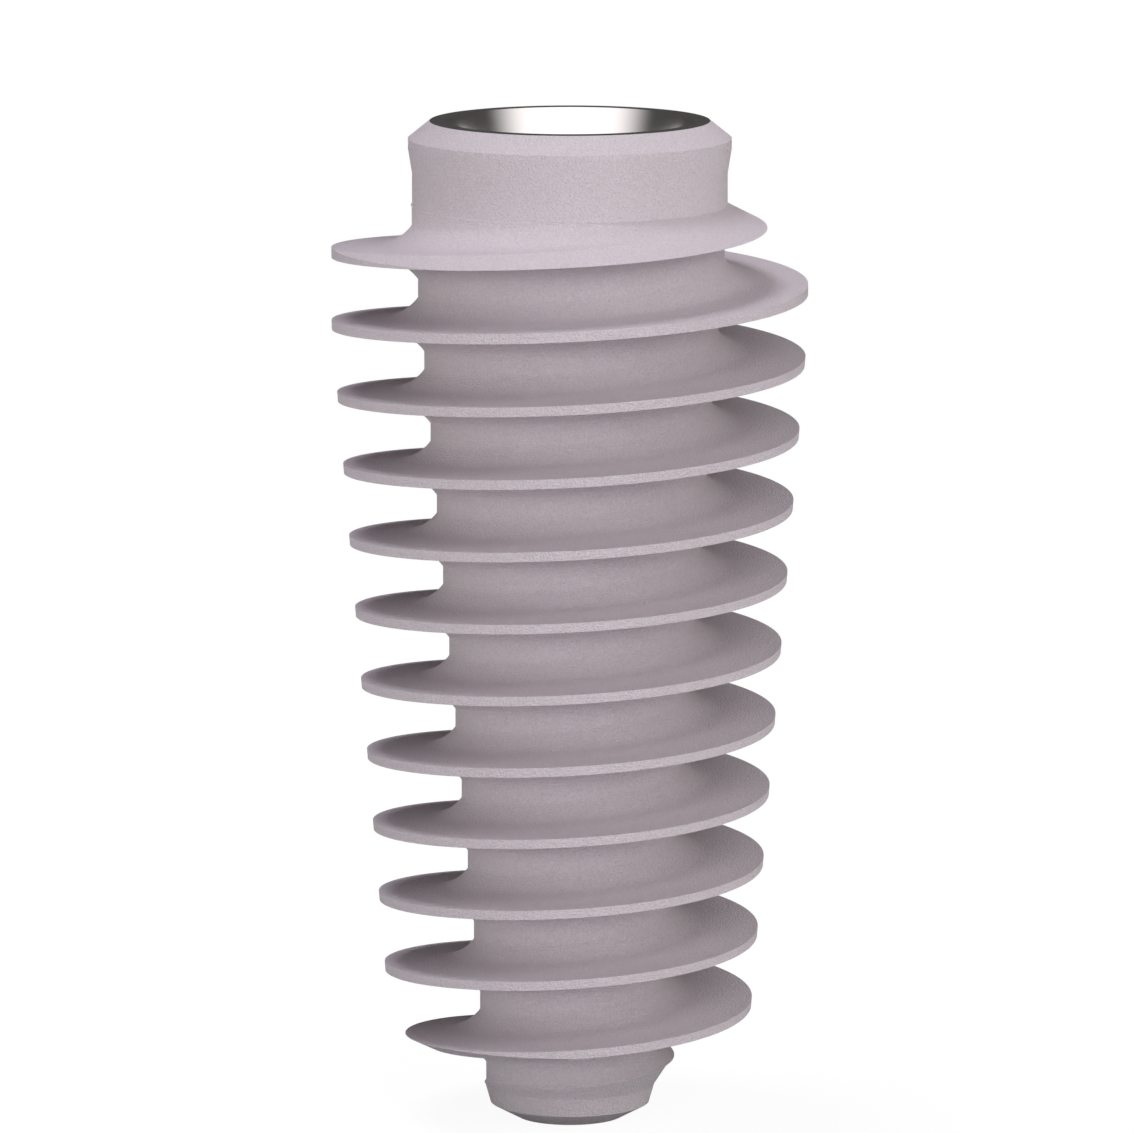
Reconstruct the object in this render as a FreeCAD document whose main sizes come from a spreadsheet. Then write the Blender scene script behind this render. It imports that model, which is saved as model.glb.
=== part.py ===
import FreeCAD
import Part
import Sketcher
import math
import os

# Dental implant, one turned titanium piece: a wide screw with deep fins,
# a conical socket in its head and a blind screw bore below the socket.
# All sizes are in millimetres, the axis is Z and the flat apex lies on Z = 0.
# Heights are stacked: from the apex up to the first fin, and from the rim down to the rest.

SIZES = [
    ("length", 11.5),
    # Head, from the rim downwards.
    ("rim_width", 0.176),
    ("bevel_width", 0.244),
    ("bevel_height", 0.197),
    ("collar_height", 0.113),
    ("flare_width", 0.045),
    ("flare_height", 0.28),
    ("neck_radius", 1.79),
    ("neck_height", 0.366),
    ("runout_height", 0.466),
    # Fins: a short straight part below the run-out, then a taper towards the apex.
    ("fin_radius", 2.7066),
    ("straight_height", 0.918),
    ("fin_taper_deg", 4.5017),
    # Apex, from its flat end upwards.
    ("apex_radius", 0.615),
    ("apex_edge_width", 0.298),
    ("apex_edge_height", 0.161),
    ("tip_foot_width", 0.063),
    ("tip_foot_height", 0.217),
    ("tip_flare_width", 0.16),
    ("tip_flare_height", 0.247),
    ("shoulder_height", 0.464),
    # Socket, hexagonal recess and screw bore, from the rim downwards.
    ("socket_depth", 1.8),
    ("socket_taper_deg", 12.073),
    ("hex_flats", 1.78),
    ("hex_depth", 1.2),
    ("bore_radius", 0.62),
    ("bore_length", 3.72),
    ("bore_lead_width", 0.18),
    ("bore_point_deg", 60.0),
    # Groove between the fins, swept along a conical helix.
    ("pitch", 0.8252),
    ("root_radius", 1.6883),
    ("root_taper_deg", 4.796),
    ("fin_edge", 0.1095),
    ("flank_deg", 3.9),
    ("fillet_radius", 0.4954),
    ("fillet_start_deg", 35.2),
    ("last_groove_drop", 0.0759),
]

# Levels and radii that follow from the sizes, as spreadsheet formulas.
LEVELS = {
    "rim": "sizes.length",
    "collar_top": "sizes.length - sizes.bevel_height",
}
LEVELS["collar_foot"] = LEVELS["collar_top"] + " - sizes.collar_height"
LEVELS["neck_top"] = LEVELS["collar_foot"] + " - sizes.flare_height"
LEVELS["neck_foot"] = LEVELS["neck_top"] + " - sizes.neck_height"
LEVELS["runout_foot"] = LEVELS["neck_foot"] + " - sizes.runout_height"
LEVELS["taper_top"] = LEVELS["runout_foot"] + " - sizes.straight_height"
LEVELS["apex_edge"] = "sizes.apex_edge_height"
LEVELS["tip_foot"] = LEVELS["apex_edge"] + " + sizes.tip_foot_height"
LEVELS["tip_flare"] = LEVELS["tip_foot"] + " + sizes.tip_flare_height"
LEVELS["shoulder"] = LEVELS["tip_flare"] + " + sizes.shoulder_height"
LEVELS["socket_foot"] = "sizes.length - sizes.socket_depth"
LEVELS["hex_foot"] = LEVELS["socket_foot"] + " - sizes.hex_depth"
LEVELS["bore_top"] = LEVELS["hex_foot"] + " - sizes.bore_lead_width"
LEVELS["bore_foot"] = LEVELS["bore_top"] + " - sizes.bore_length"
LEVELS["bore_point"] = LEVELS["bore_foot"] + " - sizes.bore_radius / tan(sizes.bore_point_deg * 1 deg)"

RADII = {
    "apex": "sizes.apex_radius",
    "apex_edge": "sizes.apex_radius + sizes.apex_edge_width",
    "fins": "sizes.fin_radius",
    "neck": "sizes.neck_radius",
    "collar": "sizes.neck_radius + sizes.flare_width",
    "bore": "sizes.bore_radius",
    "bore_lead": "sizes.bore_radius + sizes.bore_lead_width",
}
RADII["tip_foot"] = RADII["apex_edge"] + " + sizes.tip_foot_width"
RADII["tip_flare"] = RADII["tip_foot"] + " + sizes.tip_flare_width"
RADII["rim_outer"] = RADII["collar"] + " - sizes.bevel_width"
RADII["rim_inner"] = RADII["rim_outer"] + " - sizes.rim_width"
RADII["shoulder"] = "sizes.fin_radius - ((%s) - (%s)) * tan(sizes.fin_taper_deg * 1 deg)" % (
    LEVELS["taper_top"], LEVELS["shoulder"])
RADII["socket_foot"] = RADII["rim_inner"] + " - sizes.socket_depth * tan(sizes.socket_taper_deg * 1 deg)"


def make_sheet(document):
    sheet = document.addObject("Spreadsheet::Sheet", "sizes")
    for row, (name, value) in enumerate(SIZES, start=1):
        sheet.set("A%d" % row, name)
        sheet.set("B%d" % row, str(value))
        sheet.setAlias("B%d" % row, name)
    document.recompute()
    return sheet


def measure(sheet, formula):
    return float(sheet.evalExpression(formula))


def origin_plane(body, role):
    return [item for item in body.Origin.OriginFeatures if item.Role == role][0]


def profile_sketch(body, name, sheet, corners):
    """Closed polygon beside the axis; each corner is a radius and a level, None being zero."""
    sketch = body.newObject("Sketcher::SketchObject", name)
    sketch.AttachmentSupport = (origin_plane(body, "XZ_Plane"), "")
    sketch.MapMode = "FlatFace"
    points = []
    for radius, level in corners:
        across = measure(sheet, radius) if radius else 0.0
        along = measure(sheet, level) if level else 0.0
        points.append(FreeCAD.Vector(across, along, 0))
    for index, point in enumerate(points):
        following = points[(index + 1) % len(points)]
        sketch.addGeometry(Part.LineSegment(point, following))
    # In a constraint a line's start is point 1 and its end is point 2. The origin is
    # point 1 of geometry -1, which is also the horizontal axis; -2 is the vertical one.
    for index in range(len(points)):
        following = (index + 1) % len(points)
        sketch.addConstraint(Sketcher.Constraint("Coincident", index, 2, following, 1))
    for index, (radius, level) in enumerate(corners):
        if radius:
            bind(sketch, "DistanceX", index, points[index].x, "radius_%d" % index, radius)
        else:
            sketch.addConstraint(Sketcher.Constraint("PointOnObject", index, 1, -2))
        if level:
            bind(sketch, "DistanceY", index, points[index].y, "level_%d" % index, level)
        else:
            sketch.addConstraint(Sketcher.Constraint("PointOnObject", index, 1, -1))
    return sketch


def bind(sketch, kind, line, value, name, formula):
    """Dimension from the origin to a line's start, driven by a formula of the sheet."""
    number = sketch.addConstraint(Sketcher.Constraint(kind, -1, 1, line, 1, value))
    sketch.renameConstraint(number, name)
    sketch.setExpression("Constraints." + name, formula)


def make_blank(document, sheet):
    body = document.addObject("PartDesign::Body", "turned_blank")
    outline = profile_sketch(body, "blank_outline", sheet, [
        (None, None),
        (RADII["apex"], None),
        (RADII["apex_edge"], LEVELS["apex_edge"]),
        (RADII["tip_foot"], LEVELS["tip_foot"]),
        (RADII["tip_flare"], LEVELS["tip_flare"]),
        (RADII["shoulder"], LEVELS["shoulder"]),
        (RADII["fins"], LEVELS["taper_top"]),
        (RADII["fins"], LEVELS["runout_foot"]),
        (RADII["neck"], LEVELS["neck_foot"]),
        (RADII["neck"], LEVELS["neck_top"]),
        (RADII["collar"], LEVELS["collar_foot"]),
        (RADII["collar"], LEVELS["collar_top"]),
        (RADII["rim_outer"], LEVELS["rim"]),
        (None, LEVELS["rim"]),
    ])
    blank = body.newObject("PartDesign::Revolution", "blank")
    blank.Profile = outline
    blank.ReferenceAxis = (outline, ["V_Axis"])
    blank.Angle = 360

    section = profile_sketch(body, "socket_outline", sheet, [
        (None, LEVELS["rim"]),
        (RADII["rim_inner"], LEVELS["rim"]),
        (RADII["socket_foot"], LEVELS["socket_foot"]),
        (RADII["bore_lead"], LEVELS["socket_foot"]),
        (RADII["bore_lead"], LEVELS["hex_foot"]),
        (RADII["bore"], LEVELS["bore_top"]),
        (RADII["bore"], LEVELS["bore_foot"]),
        (None, LEVELS["bore_point"]),
    ])
    socket = body.newObject("PartDesign::Groove", "socket_and_bore")
    socket.Profile = section
    socket.ReferenceAxis = (section, ["V_Axis"])
    socket.Angle = 360

    recess = body.newObject("PartDesign::Pocket", "hex_recess")
    recess.Profile = hexagon_sketch(body, sheet)
    recess.setExpression("Length", "sizes.hex_depth")
    document.recompute()
    return body


def hexagon_sketch(body, sheet):
    """Hexagon at the foot of the socket, on a construction circle, one flat square to X."""
    sketch = body.newObject("Sketcher::SketchObject", "hexagon")
    sketch.AttachmentSupport = (origin_plane(body, "XY_Plane"), "")
    sketch.MapMode = "FlatFace"
    sketch.setExpression("AttachmentOffset.Base.z", LEVELS["socket_foot"])
    corner_radius = measure(sheet, "sizes.hex_flats / sqrt(3)")
    upward = FreeCAD.Vector(0, 0, 1)
    corners = []
    for step in range(6):
        turn = FreeCAD.Rotation(upward, 30 + 60 * step)
        corners.append(turn.multVec(FreeCAD.Vector(corner_radius, 0, 0)))
    for step in range(6):
        sketch.addGeometry(Part.LineSegment(corners[step], corners[(step + 1) % 6]))
    ring = Part.Circle(FreeCAD.Vector(0, 0, 0), upward, corner_radius)
    circle = sketch.addGeometry(ring, True)
    for step in range(6):
        following = (step + 1) % 6
        sketch.addConstraint(Sketcher.Constraint("Coincident", step, 2, following, 1))
        sketch.addConstraint(Sketcher.Constraint("PointOnObject", step, 1, circle))
    for step in range(1, 6):
        sketch.addConstraint(Sketcher.Constraint("Equal", 0, step))
    sketch.addConstraint(Sketcher.Constraint("Coincident", circle, 3, -1, 1))
    sketch.addConstraint(Sketcher.Constraint("Vertical", 5))
    radius = sketch.addConstraint(Sketcher.Constraint("Radius", circle, corner_radius))
    sketch.renameConstraint(radius, "corner_radius")
    sketch.setExpression("Constraints.corner_radius", "sizes.hex_flats / sqrt(3)")
    return sketch


def groove_half(sheet):
    """Half the groove's section as (depth from its floor, height from its middle)."""
    start = math.radians(sheet.fillet_start_deg)
    finish = math.radians(90 - sheet.flank_deg)
    radius = sheet.fillet_radius
    fin_depth = sheet.fin_radius - sheet.root_radius
    fillet_depth = radius * (math.cos(start) - math.cos(finish))
    fillet_rise = radius * (math.sin(finish) - math.sin(start))
    draft = math.tan(math.radians(sheet.flank_deg))
    flank_rise = (fin_depth - fillet_depth) * draft
    opening = (sheet.pitch - sheet.fin_edge) / 2
    floor_half = opening - flank_rise - fillet_rise
    half = []
    # The fillet is drawn as two chords, which keeps the mesh of the long sweep small.
    for angle in (start, (start + finish) / 2, finish):
        depth = radius * (math.cos(start) - math.cos(angle))
        rise = radius * (math.sin(angle) - math.sin(start))
        half.append((depth, floor_half + rise))
    # The flank runs on past the fin's edge, so that the cut leaves nothing outside.
    overrun = fin_depth / 5
    half.append((fin_depth + overrun, opening + overrun * draft))
    return half


def make_groove(document, sheet):
    """Sweep the groove between the fins: one solid that turns and climbs along a cone."""
    pitch = sheet.pitch
    last = measure(sheet, LEVELS["runout_foot"]) - sheet.last_groove_drop
    turns_below = math.ceil(last / pitch)
    bottom = last - turns_below * pitch
    travel = (turns_below + 1.2) * pitch
    below_taper_top = measure(sheet, LEVELS["taper_top"]) - bottom
    floor_radius = sheet.root_radius - below_taper_top * math.tan(math.radians(sheet.root_taper_deg))
    helix = Part.makeLongHelix(pitch, travel, floor_radius, sheet.root_taper_deg)
    helix.translate(FreeCAD.Vector(0, 0, bottom))
    path = Part.Wire(helix.Edges)

    half = groove_half(sheet)
    corners = [(depth, -height) for depth, height in half]
    corners += [(depth, height) for depth, height in reversed(half)]
    ring = []
    for depth, height in corners:
        ring.append(FreeCAD.Vector(floor_radius + depth, 0, bottom + height))
    section = Part.makePolygon(ring + [ring[0]])

    # The binormal is fixed to Z, so the groove's floor and flanks never tilt.
    sweep = Part.BRepOffsetAPI.MakePipeShell(path)
    sweep.setBiNormalMode(FreeCAD.Vector(0, 0, 1))
    sweep.add(section, False, False)
    sweep.build()
    sweep.makeSolid()
    groove = document.addObject("Part::Feature", "thread_groove")
    groove.Shape = sweep.shape()
    return groove


def make_implant(document, blank, groove):
    implant = document.addObject("Part::Cut", "implant_body")
    implant.Label = "implant_body"
    implant.Base = blank
    implant.Tool = groove
    document.recompute()
    return implant


def check(document, implant):
    for item in document.Objects:
        if "Invalid" in item.State or "Error" in item.State:
            raise RuntimeError("%s did not build" % item.Name)
    shape = implant.Shape
    if not shape.isValid() or len(shape.Solids) != 1:
        raise RuntimeError("the implant is not one valid solid")
    print("%s: %.3f mm3, %d faces" % (implant.Label, shape.Volume, len(shape.Faces)))


document = FreeCAD.newDocument("dental_implant")
sheet = make_sheet(document)
blank = make_blank(document, sheet)
groove = make_groove(document, sheet)
implant = make_implant(document, blank, groove)
check(document, implant)

os.makedirs("parts", exist_ok=True)
implant.Shape.exportStep("parts/%s.step" % implant.Label)
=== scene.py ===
import bmesh
import bpy
import math
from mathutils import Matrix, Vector


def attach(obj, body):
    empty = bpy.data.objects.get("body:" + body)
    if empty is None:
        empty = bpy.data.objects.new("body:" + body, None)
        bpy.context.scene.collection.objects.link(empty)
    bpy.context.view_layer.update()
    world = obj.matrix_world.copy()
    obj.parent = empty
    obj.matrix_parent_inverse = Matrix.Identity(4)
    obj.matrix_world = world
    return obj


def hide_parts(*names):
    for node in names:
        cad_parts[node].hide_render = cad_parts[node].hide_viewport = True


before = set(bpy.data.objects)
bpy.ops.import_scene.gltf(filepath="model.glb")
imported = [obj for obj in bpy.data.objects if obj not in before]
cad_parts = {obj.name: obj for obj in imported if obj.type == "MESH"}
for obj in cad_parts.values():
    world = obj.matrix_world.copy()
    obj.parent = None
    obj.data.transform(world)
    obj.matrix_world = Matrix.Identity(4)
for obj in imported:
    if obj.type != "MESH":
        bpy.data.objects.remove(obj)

# Dental implant: the dressed scene. Sizes of the implant are in millimetres and become
# metres when its mesh is made. The axis is Z and the apex lies at Z = 0.

MILLIMETRE = 0.001
FULL_TURN = 2.0 * math.pi
COLUMNS = 180
JOIN_DISTANCE = 0.002

# Heights over the apex, and the outline of the turned blank as (height, radius).
APEX_EDGE_HEIGHT = 0.161
NECK_FOOT = 10.544
FLARE_FOOT = 10.91
FLARE_TOP = 11.19
TOP = 11.5
OUTLINE = [
    (0.0, 0.615),               # edge of the flat apex
    (APEX_EDGE_HEIGHT, 0.913),  # top of the apex's bevel
    (0.378, 0.976),             # foot of the tip's flare
    (0.625, 1.136),             # foot of the shoulder
    (1.089, 2.0711),            # shoulder, where the cone of the fins starts
    (9.16, 2.7066),             # end of that cone
    (10.078, 2.7066),           # end of the straight stretch
    (NECK_FOOT, 1.79),
    (FLARE_FOOT, 1.79),
    (FLARE_TOP, 1.835),
    (11.303, 1.835),            # foot of the rim's bevel
    (TOP, 1.591),               # outer edge of the rim
]
RIM_INNER = 1.415

# The groove between the fins: a cone-shaped floor, rounded corners and sloped flanks.
PITCH = 0.8252
GROOVE_START_HEIGHT = -0.7255
GROOVE_START_RADIUS = 0.8590
GROOVE_TAPER = 0.0839
GROOVE_TURNS = 14
FLOOR_HALF = 0.105
FILLET_RADIUS = 0.4954
FILLET_START = math.radians(35.2)
FILLET_END = math.radians(86.1)
FILLET_STEPS = 9
FLANK_SLOPE = math.tan(math.radians(3.9))
FILLET_RISE = FILLET_RADIUS * (math.sin(FILLET_END) - math.sin(FILLET_START))
FILLET_DEPTH = FILLET_RADIUS * (math.cos(FILLET_START) - math.cos(FILLET_END))

# The groove's edges are looked for this far above and below its middle, in so many
# steps, and each is then found by halving the step.
GROOVE_REACH = 0.45
SEARCH_STEPS = 90
HALVINGS = 30

# Socket, hexagon and screw bore.
SOCKET_RADIUS = 1.03
SOCKET_HEIGHT = 9.7
HEX_HALF_FLATS = 0.89
HEX_SECTOR = math.radians(60.0)
HEX_HEIGHT = 8.5
LEAD_RADIUS = 0.8
LEAD_HEIGHT = 8.32
BORE_RADIUS = 0.62
BORE_HEIGHT = 4.6
BORE_POINT = 4.242

# Internal thread of the bore. Its section is (rise within a turn, share of the depth).
SCREW_PITCH = 0.35
SCREW_DEPTH = 0.16
SCREW_FADE = 0.2
SCREW_SECTION = [(0.0, 0.0), (0.05, 0.0), (0.15, 1.0), (0.2, 1.0), (0.3, 0.0)]

# Angle over which an edge is sharp: SOFT_CREASE in the groove and on the flare, CREASE
# elsewhere. FLOOR_MARGIN and FLARE_MARGIN widen those two zones, LAND_MARGIN and
# SOCKET_MARGIN keep them off the lands and the socket.
CREASE = math.radians(7.0)
SOFT_CREASE = math.radians(50.0)
FLOOR_MARGIN = 0.05
LAND_MARGIN = 0.02
SOCKET_MARGIN = 0.1
FLARE_MARGIN = 0.05

# Blasted surface: its shader values, then the grains per metre, their depth in metres
# and their two colours.
BLASTED_METALLIC = 0.15
BLASTED_ROUGHNESS = 0.6
BLASTED_DIFFUSE_ROUGHNESS = 0.2
GRAIN_SCALE = 45000.0
GRAIN_DETAIL = 2.0
GRAIN_DEPTH = 0.000024
GRAIN_DARK = (0.434, 0.384, 0.415, 1.0)
GRAIN_LIGHT = (0.686, 0.606, 0.655, 1.0)

# Polished rim and socket.
POLISHED_COLOUR = (0.8, 0.77, 0.78, 1.0)
POLISHED_ROUGHNESS = 0.17

# Light. In directions, azimuth 0 is the camera's side and 90 the right of the picture.
# A glow is full within full_deg of its direction and has faded to its base at none_deg.
FILL_GLOW = {
    "azimuth_deg": 180.0,
    "elevation_deg": 10.0,
    "full_deg": 50.0,
    "none_deg": 90.0,
    "colour": (1.0, 0.95, 0.9),
    "strength": 0.2,
    "base": 0.0,
}
MIRROR_GLOW = {
    "azimuth_deg": 0.0,
    "elevation_deg": 15.0,
    "full_deg": 28.0,
    "none_deg": 84.0,
    "colour": (1.0, 0.98, 0.96),
    "strength": 1.4,
    "base": 0.07,
}

# Lamps, LAMP_DISTANCE metres from the middle of the implant: name, azimuth, elevation,
# angle from the middle of the disc to its edge, colour, radiance.
LAMP_DISTANCE = 0.3
LAMPS = [
    ("key", 33.0, 25.0, 32.0, (1.0, 1.0, 1.0), 2.65),
    ("front", 355.0, 8.0, 10.0, (0.85, 0.93, 1.0), 4.3),
    ("right", 75.0, 12.0, 18.0, (0.96, 1.0, 0.88), 2.4),
    ("left", 298.0, 2.0, 10.0, (0.98, 1.0, 0.94), 17.0),
    ("top", 262.0, 78.0, 11.0, (0.91, 0.92, 1.0), 17.4),
]

# Floor, in metres. The camera sees glowing FLOOR_WHITE mixed with a share FLOOR_SHADE of
# matt FLOOR_GREY, which shows the shadow. All other rays see matt FLOOR_DULL.
FLOOR_RADIUS = 0.05
FLOOR_SEGMENTS = 96
FLOOR_WHITE = 1.04
FLOOR_SHADE = 0.1
FLOOR_GREY = 0.8
FLOOR_DULL = 0.35

# Camera, in metres and radians; the lens and the sensor in millimetres.
CAMERA_TARGET = Vector((-0.000038, 0.0, 0.006384))
CAMERA_DISTANCE = 0.101715
CAMERA_TILT = 0.1587
CAMERA_LENS = 283.12
CAMERA_SENSOR = 36.0
CAMERA_CLIP = (0.01, 10.0)


def clamp(value, low, high):
    """The value, kept between low and high."""
    return max(low, min(high, value))


def blank_radius(height):
    """Radius of the turned blank before the groove is cut."""
    for (low, low_radius), (high, high_radius) in zip(OUTLINE, OUTLINE[1:]):
        if height <= high:
            share = (height - low) / (high - low)
            return low_radius + share * (high_radius - low_radius)
    return OUTLINE[-1][1]


def groove_at(turns):
    """Height and floor radius of the groove's middle after so many turns."""
    climb = PITCH * turns
    return GROOVE_START_HEIGHT + climb, GROOVE_START_RADIUS + GROOVE_TAPER * climb


def groove_radius(height, centre, floor_radius):
    """Radius of the groove's surface at a height, from its floor out along its flank."""
    rise = abs(height - centre) - FLOOR_HALF
    if rise <= 0.0:
        return floor_radius
    if rise >= FILLET_RISE:
        return floor_radius + FILLET_DEPTH + (rise - FILLET_RISE) / FLANK_SLOPE
    sine = math.sin(FILLET_START) + rise / FILLET_RADIUS
    cosine = math.sqrt(1.0 - sine * sine)
    return floor_radius + FILLET_RADIUS * (math.cos(FILLET_START) - cosine)


def groove_offsets():
    """Heights from the groove's middle at which its section is sampled."""
    upper = [FLOOR_HALF]
    for step in range(1, FILLET_STEPS + 1):
        angle = FILLET_START + (FILLET_END - FILLET_START) * step / FILLET_STEPS
        rise = FILLET_RADIUS * (math.sin(angle) - math.sin(FILLET_START))
        upper.append(FLOOR_HALF + rise)
    return [-offset for offset in reversed(upper)] + upper


def crossing(inside, outside, centre, floor_radius):
    """Height where the groove meets the blank, between one inside and one outside the cut."""
    for _ in range(HALVINGS):
        middle = 0.5 * (inside + outside)
        if groove_radius(middle, centre, floor_radius) < blank_radius(middle):
            inside = middle
        else:
            outside = middle
    return 0.5 * (inside + outside)


def groove_span(turns):
    """Lowest and highest height at which the groove cuts the blank on one column."""
    centre, floor_radius = groove_at(turns)
    heights = []
    for step in range(SEARCH_STEPS + 1):
        height = centre - GROOVE_REACH + 2.0 * GROOVE_REACH * step / SEARCH_STEPS
        if 0.0 <= height <= TOP:
            heights.append(height)
    cut = [h for h in heights if groove_radius(h, centre, floor_radius) < blank_radius(h)]
    if not cut:
        # Where the groove misses the blank, its span is one height near that end.
        if centre > TOP / 2.0:
            return NECK_FOOT, NECK_FOOT
        level = max(centre + FLOOR_HALF, APEX_EDGE_HEIGHT)
        return level, level
    stride = 2.0 * GROOVE_REACH / SEARCH_STEPS
    low = crossing(cut[0], max(cut[0] - stride, 0.0), centre, floor_radius)
    high = crossing(cut[-1], min(cut[-1] + stride, TOP), centre, floor_radius)
    return low, high


def land_corners(spans):
    """For each land between two turns of the groove, the outline's corners on it."""
    corners = []
    for land in range(GROOVE_TURNS + 1):
        lows = [0.0] if land == 0 else [span[land - 1][1] for span in spans]
        highs = [TOP] if land == GROOVE_TURNS else [span[land][0] for span in spans]
        corners.append([h for h, _ in OUTLINE[1:-1] if min(lows) <= h <= max(highs)])
    return corners


def outer_column(share, spans, corners, offsets):
    """Outside of the implant at one share of a turn, as (height, radius) from the apex up."""
    points = [(0.0, blank_radius(0.0))]
    previous = 0.0
    for land in range(GROOVE_TURNS + 1):
        following = spans[land][0] if land < GROOVE_TURNS else TOP
        for corner in corners[land]:
            height = clamp(corner, previous, following)
            points.append((height, blank_radius(height)))
        if land < GROOVE_TURNS:
            low, high = spans[land]
            centre, floor_radius = groove_at(land + share)
            points.append((low, blank_radius(low)))
            for offset in offsets:
                height = clamp(centre + offset, low, high)
                radius = min(blank_radius(height), groove_radius(height, centre, floor_radius))
                points.append((height, radius))
            points.append((high, blank_radius(high)))
            previous = high
    points.append((TOP, blank_radius(TOP)))
    return points


def hexagon_radius(angle):
    """Distance from the axis to the wall of the hexagon in one direction."""
    off_flat = (angle + HEX_SECTOR / 2) % HEX_SECTOR - HEX_SECTOR / 2
    return HEX_HALF_FLATS / math.cos(off_flat)


def screw_points(share):
    """One column of the screw bore's thread, from its mouth down to its end."""
    points = []
    # The turns reach past both ends of the bore, and what is past them is clamped.
    turns = int((LEAD_HEIGHT - BORE_HEIGHT) / SCREW_PITCH) + 2
    for turn in range(turns, -1, -1):
        base = BORE_HEIGHT + SCREW_PITCH * (turn - 1 + share)
        for offset, depth in reversed(SCREW_SECTION):
            height = clamp(base + offset, BORE_HEIGHT, LEAD_HEIGHT)
            from_end = min(height - BORE_HEIGHT, LEAD_HEIGHT - height)
            fade = clamp(from_end / SCREW_FADE, 0.0, 1.0)
            points.append((height, BORE_RADIUS + SCREW_DEPTH * depth * fade))
    return points


def inner_column(share):
    """Socket, hexagon and bore at one share of a turn, as (height, radius) from the rim down."""
    hexagon = hexagon_radius(FULL_TURN * share)
    points = [
        (TOP, RIM_INNER),
        (SOCKET_HEIGHT, SOCKET_RADIUS),
        (SOCKET_HEIGHT, hexagon),
        (HEX_HEIGHT, hexagon),
        (HEX_HEIGHT, LEAD_RADIUS),
        (LEAD_HEIGHT, BORE_RADIUS),
    ]
    points += screw_points(share)
    points.append((BORE_HEIGHT, BORE_RADIUS))
    return points


def add_object(name, data):
    """New object in the scene."""
    added = bpy.data.objects.new(name, data)
    bpy.context.scene.collection.objects.link(added)
    return added


def build_implant(name):
    """The implant as one closed skin, with its rim and socket in the second material slot."""
    shares = [column / COLUMNS for column in range(COLUMNS + 1)]
    spans = [[groove_span(turn + share) for turn in range(GROOVE_TURNS)] for share in shares]
    corners = land_corners(spans)
    offsets = groove_offsets()
    vertices = []
    for share, span in zip(shares, spans):
        angle = FULL_TURN * share
        outer = outer_column(share, span, corners, offsets)
        points = outer + inner_column(share)
        for height, radius in points:
            vertices.append((radius * math.cos(angle) * MILLIMETRE,
                             radius * math.sin(angle) * MILLIMETRE,
                             height * MILLIMETRE))
    count = len(points)
    rim_row = len(outer) - 1
    socket_row = len(outer)
    apex = len(vertices)
    vertices.append((0.0, 0.0, 0.0))
    bore_point = len(vertices)
    vertices.append((0.0, 0.0, BORE_POINT * MILLIMETRE))
    faces = []
    slots = []
    for column in range(COLUMNS):
        here = column * count
        there = here + count
        for row in range(count - 1):
            faces.append((here + row, there + row, there + row + 1, here + row + 1))
            slots.append(1 if row in (rim_row, socket_row) else 0)
        faces.append((apex, there, here))
        faces.append((here + count - 1, there + count - 1, bore_point))
        slots += [0, 0]
    mesh = bpy.data.meshes.new(name)
    mesh.from_pydata(vertices, [], faces)
    for polygon, slot in zip(mesh.polygons, slots):
        polygon.material_index = slot
    clean(mesh)
    return add_object(name, mesh)


def sharp_limit(edge):
    """Angle over which an edge shows as a crease; blends in the groove and on the flare are soft."""
    middle = 0.5 * (edge.verts[0].co + edge.verts[1].co) / MILLIMETRE
    radius = math.hypot(middle.x, middle.y)
    floor_radius = GROOVE_START_RADIUS + GROOVE_TAPER * (middle.z - GROOVE_START_HEIGHT)
    in_groove = floor_radius - FLOOR_MARGIN < radius < blank_radius(middle.z) - LAND_MARGIN
    by_flare = FLARE_FOOT - FLARE_MARGIN < middle.z < FLARE_TOP + FLARE_MARGIN
    on_flare = by_flare and radius > RIM_INNER + SOCKET_MARGIN
    return SOFT_CREASE if in_groove or on_flare else CREASE


def clean(mesh):
    """Join the seam, drop collapsed faces and mark the sharp edges."""
    working = bmesh.new()
    working.from_mesh(mesh)
    bmesh.ops.remove_doubles(working, verts=working.verts, dist=JOIN_DISTANCE * MILLIMETRE)
    bmesh.ops.dissolve_degenerate(working, edges=working.edges, dist=JOIN_DISTANCE * MILLIMETRE)
    for face in working.faces:
        face.smooth = True
    for edge in working.edges:
        if len(edge.link_faces) == 2:
            edge.smooth = edge.calc_face_angle(0.0) < sharp_limit(edge)
    open_edges = [edge for edge in working.edges if len(edge.link_faces) != 2]
    print("implant mesh:", len(working.faces), "faces,", len(open_edges), "open edges")
    working.to_mesh(mesh)
    working.free()


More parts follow.
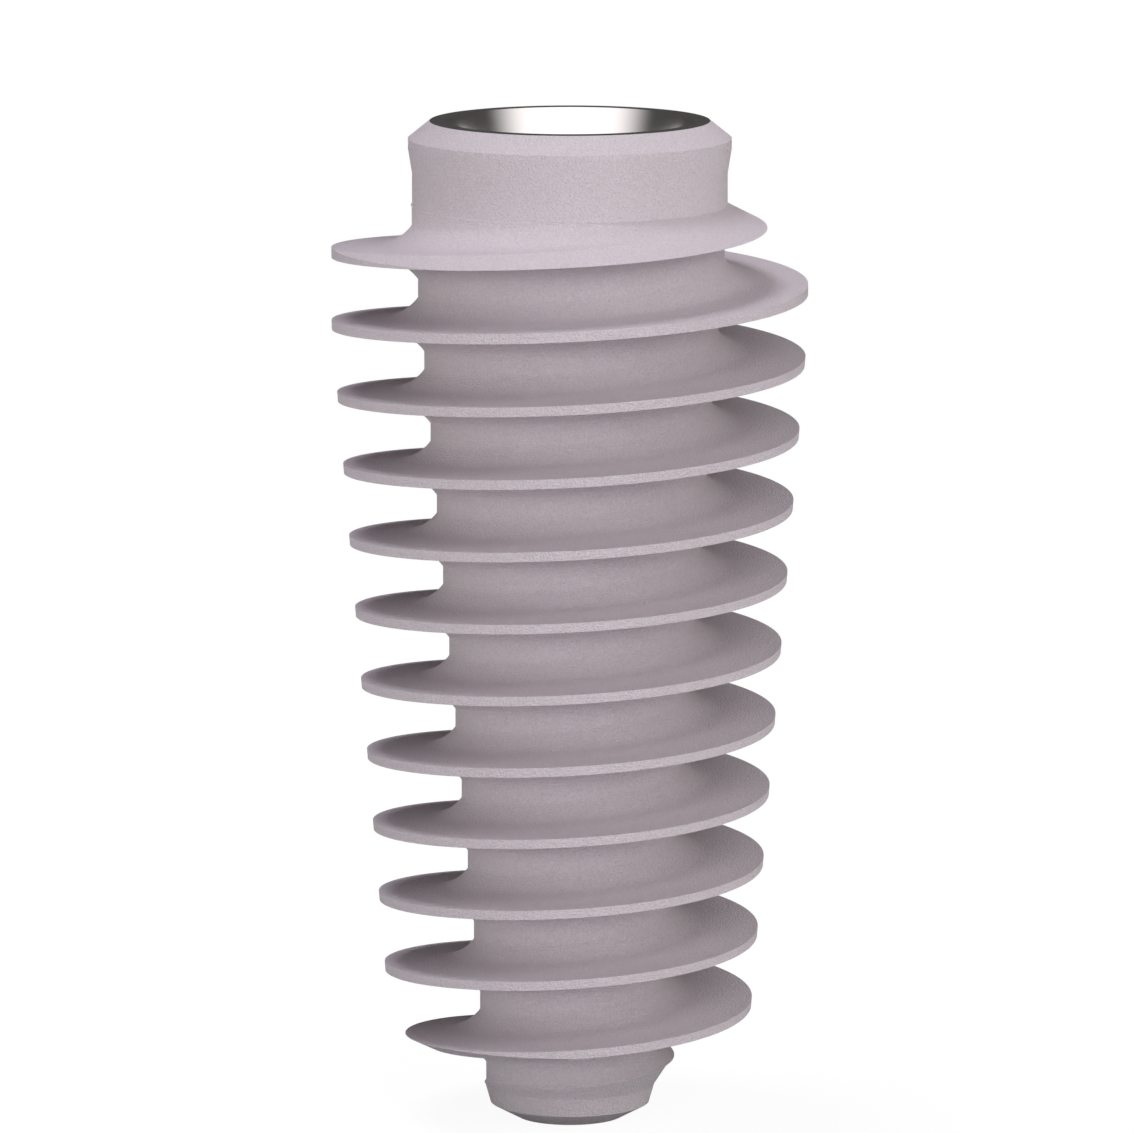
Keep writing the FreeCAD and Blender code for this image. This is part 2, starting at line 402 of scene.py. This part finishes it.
def blasted_titanium():
    """Matt grey with a fine grain, in the colour and in the surface."""
    material = bpy.data.materials.new("blasted_titanium")
    material.use_nodes = True
    nodes = material.node_tree.nodes
    links = material.node_tree.links
    surface = nodes["Principled BSDF"]
    surface.inputs["Metallic"].default_value = BLASTED_METALLIC
    surface.inputs["Roughness"].default_value = BLASTED_ROUGHNESS
    surface.inputs["Diffuse Roughness"].default_value = BLASTED_DIFFUSE_ROUGHNESS
    place = nodes.new("ShaderNodeTexCoord")
    grain = nodes.new("ShaderNodeTexNoise")
    grain.inputs["Scale"].default_value = GRAIN_SCALE
    grain.inputs["Detail"].default_value = GRAIN_DETAIL
    links.new(place.outputs["Object"], grain.inputs["Vector"])
    bump = nodes.new("ShaderNodeBump")
    bump.inputs["Strength"].default_value = 1.0
    bump.inputs["Distance"].default_value = GRAIN_DEPTH
    links.new(grain.outputs["Fac"], bump.inputs["Height"])
    speckle = nodes.new("ShaderNodeMix")
    speckle.data_type = "RGBA"
    speckle.inputs["A"].default_value = GRAIN_DARK
    speckle.inputs["B"].default_value = GRAIN_LIGHT
    links.new(grain.outputs["Fac"], speckle.inputs["Factor"])
    links.new(speckle.outputs["Result"], surface.inputs["Base Color"])
    links.new(bump.outputs["Normal"], surface.inputs["Normal"])
    return material


def polished_titanium():
    """Bright metal of the rim and the socket."""
    material = bpy.data.materials.new("polished_titanium")
    material.use_nodes = True
    surface = material.node_tree.nodes["Principled BSDF"]
    surface.inputs["Base Color"].default_value = POLISHED_COLOUR
    surface.inputs["Metallic"].default_value = 1.0
    surface.inputs["Roughness"].default_value = POLISHED_ROUGHNESS
    return material


def direction(azimuth_deg, elevation_deg):
    """Unit vector; azimuth 0 is the camera's side and 90 is to the right of the picture."""
    azimuth = math.radians(azimuth_deg)
    elevation = math.radians(elevation_deg)
    return Vector((math.sin(azimuth) * math.cos(elevation),
                   -math.cos(azimuth) * math.cos(elevation),
                   math.sin(elevation)))


def soft_edge(tree, cosine, full_deg, none_deg):
    """1 within full_deg of a direction, 0 beyond none_deg, smooth between them."""
    edge = tree.nodes.new("ShaderNodeMapRange")
    edge.interpolation_type = "SMOOTHSTEP"
    edge.inputs["From Min"].default_value = math.cos(math.radians(none_deg))
    edge.inputs["From Max"].default_value = math.cos(math.radians(full_deg))
    tree.links.new(cosine, edge.inputs["Value"])
    return edge.outputs["Result"]


def glow(tree, azimuth_deg, elevation_deg, full_deg, none_deg, colour, strength, base):
    """Background shader of one soft round light in a dim sky of the strength base."""
    place = tree.nodes.new("ShaderNodeTexCoord")
    turn = tree.nodes.new("ShaderNodeVectorMath")
    turn.operation = "DOT_PRODUCT"
    turn.inputs[1].default_value = direction(azimuth_deg, elevation_deg)
    tree.links.new(place.outputs["Generated"], turn.inputs[0])
    share = soft_edge(tree, turn.outputs["Value"], full_deg, none_deg)
    power = tree.nodes.new("ShaderNodeMath")
    power.operation = "MULTIPLY_ADD"
    power.inputs[1].default_value = strength
    power.inputs[2].default_value = base
    tree.links.new(share, power.inputs[0])
    light = tree.nodes.new("ShaderNodeBackground")
    light.inputs["Color"].default_value = (*colour, 1.0)
    tree.links.new(power.outputs["Value"], light.inputs["Strength"])
    return light.outputs["Background"]


def mixed(tree, share, first, second):
    """Mix of two shaders; the share, a number or a socket, is the second one's."""
    mix = tree.nodes.new("ShaderNodeMixShader")
    if isinstance(share, float):
        mix.inputs["Fac"].default_value = share
    else:
        tree.links.new(share, mix.inputs["Fac"])
    tree.links.new(first, mix.inputs[1])
    tree.links.new(second, mix.inputs[2])
    return mix.outputs["Shader"]


def white_world():
    """White for the camera, a soft light in front for reflections, a dim one behind for the rest."""
    world = bpy.data.worlds.new("studio")
    bpy.context.scene.world = world
    world.use_nodes = True
    tree = world.node_tree
    seen = tree.nodes["Background"]
    seen.inputs["Color"].default_value = (1.0, 1.0, 1.0, 1.0)
    seen.inputs["Strength"].default_value = 1.0
    ray = tree.nodes.new("ShaderNodeLightPath").outputs
    unseen = mixed(tree, ray["Is Glossy Ray"], glow(tree, **FILL_GLOW), glow(tree, **MIRROR_GLOW))
    sky = mixed(tree, ray["Is Camera Ray"], unseen, seen.outputs["Background"])
    tree.links.new(sky, tree.nodes["World Output"].inputs["Surface"])


def round_lamp(name, azimuth_deg, elevation_deg, reach_deg, colour, radiance):
    """Disc lamp of one radiance that faces the implant; reflections leave it out."""
    lamp = bpy.data.lights.new(name, "AREA")
    lamp.shape = "DISK"
    lamp.size = 2.0 * LAMP_DISTANCE * math.tan(math.radians(reach_deg))
    lamp.color = colour
    area = math.pi * (lamp.size / 2.0) ** 2
    lamp.energy = radiance * math.pi * area
    holder = add_object(name, lamp)
    middle = Vector((0.0, 0.0, TOP * MILLIMETRE / 2.0))
    outward = direction(azimuth_deg, elevation_deg)
    holder.location = middle + outward * LAMP_DISTANCE
    holder.rotation_euler = (-outward).to_track_quat("-Z", "Y").to_euler()
    holder.visible_glossy = False


def matt(tree, grey):
    """Diffuse shader of one grey."""
    shader = tree.nodes.new("ShaderNodeBsdfDiffuse")
    shader.inputs["Color"].default_value = (grey, grey, grey, 1.0)
    return shader.outputs["BSDF"]


def floor_material():
    """Near white with a faint shadow for the camera, duller for all other rays."""
    material = bpy.data.materials.new("pale_floor")
    material.use_nodes = True
    tree = material.node_tree
    tree.nodes.remove(tree.nodes["Principled BSDF"])
    white = tree.nodes.new("ShaderNodeEmission")
    white.inputs["Strength"].default_value = FLOOR_WHITE
    ray = tree.nodes.new("ShaderNodeLightPath").outputs
    seen = mixed(tree, 1.0 - FLOOR_SHADE, matt(tree, FLOOR_GREY), white.outputs["Emission"])
    surface = mixed(tree, ray["Is Camera Ray"], matt(tree, FLOOR_DULL), seen)
    tree.links.new(surface, tree.nodes["Material Output"].inputs["Surface"])
    return material


def pale_floor():
    """Pale disc under the apex with a faint shadow; it throws little light back up."""
    working = bmesh.new()
    bmesh.ops.create_circle(working, cap_ends=True, radius=FLOOR_RADIUS, segments=FLOOR_SEGMENTS)
    mesh = bpy.data.meshes.new("floor")
    working.to_mesh(mesh)
    working.free()
    mesh.materials.append(floor_material())
    floor = add_object("floor", mesh)


def camera():
    """Long lens, tilted down by the same angle as in the photograph."""
    lens = bpy.data.cameras.new("camera")
    lens.sensor_width = CAMERA_SENSOR
    lens.lens = CAMERA_LENS
    lens.clip_start, lens.clip_end = CAMERA_CLIP
    holder = add_object("camera", lens)
    backward = Vector((0.0, -math.cos(CAMERA_TILT), math.sin(CAMERA_TILT)))
    holder.location = CAMERA_TARGET + backward * CAMERA_DISTANCE
    holder.rotation_euler = (math.radians(90.0) - CAMERA_TILT, 0.0, 0.0)
    bpy.context.scene.camera = holder


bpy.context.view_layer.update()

implant = build_implant("implant")
implant.data.materials.append(blasted_titanium())
implant.data.materials.append(polished_titanium())
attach(implant, "root")
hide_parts("implant_body")

white_world()
pale_floor()
for lamp_values in LAMPS:
    round_lamp(*lamp_values)
camera()
bpy.context.scene.view_settings.view_transform = "Standard"
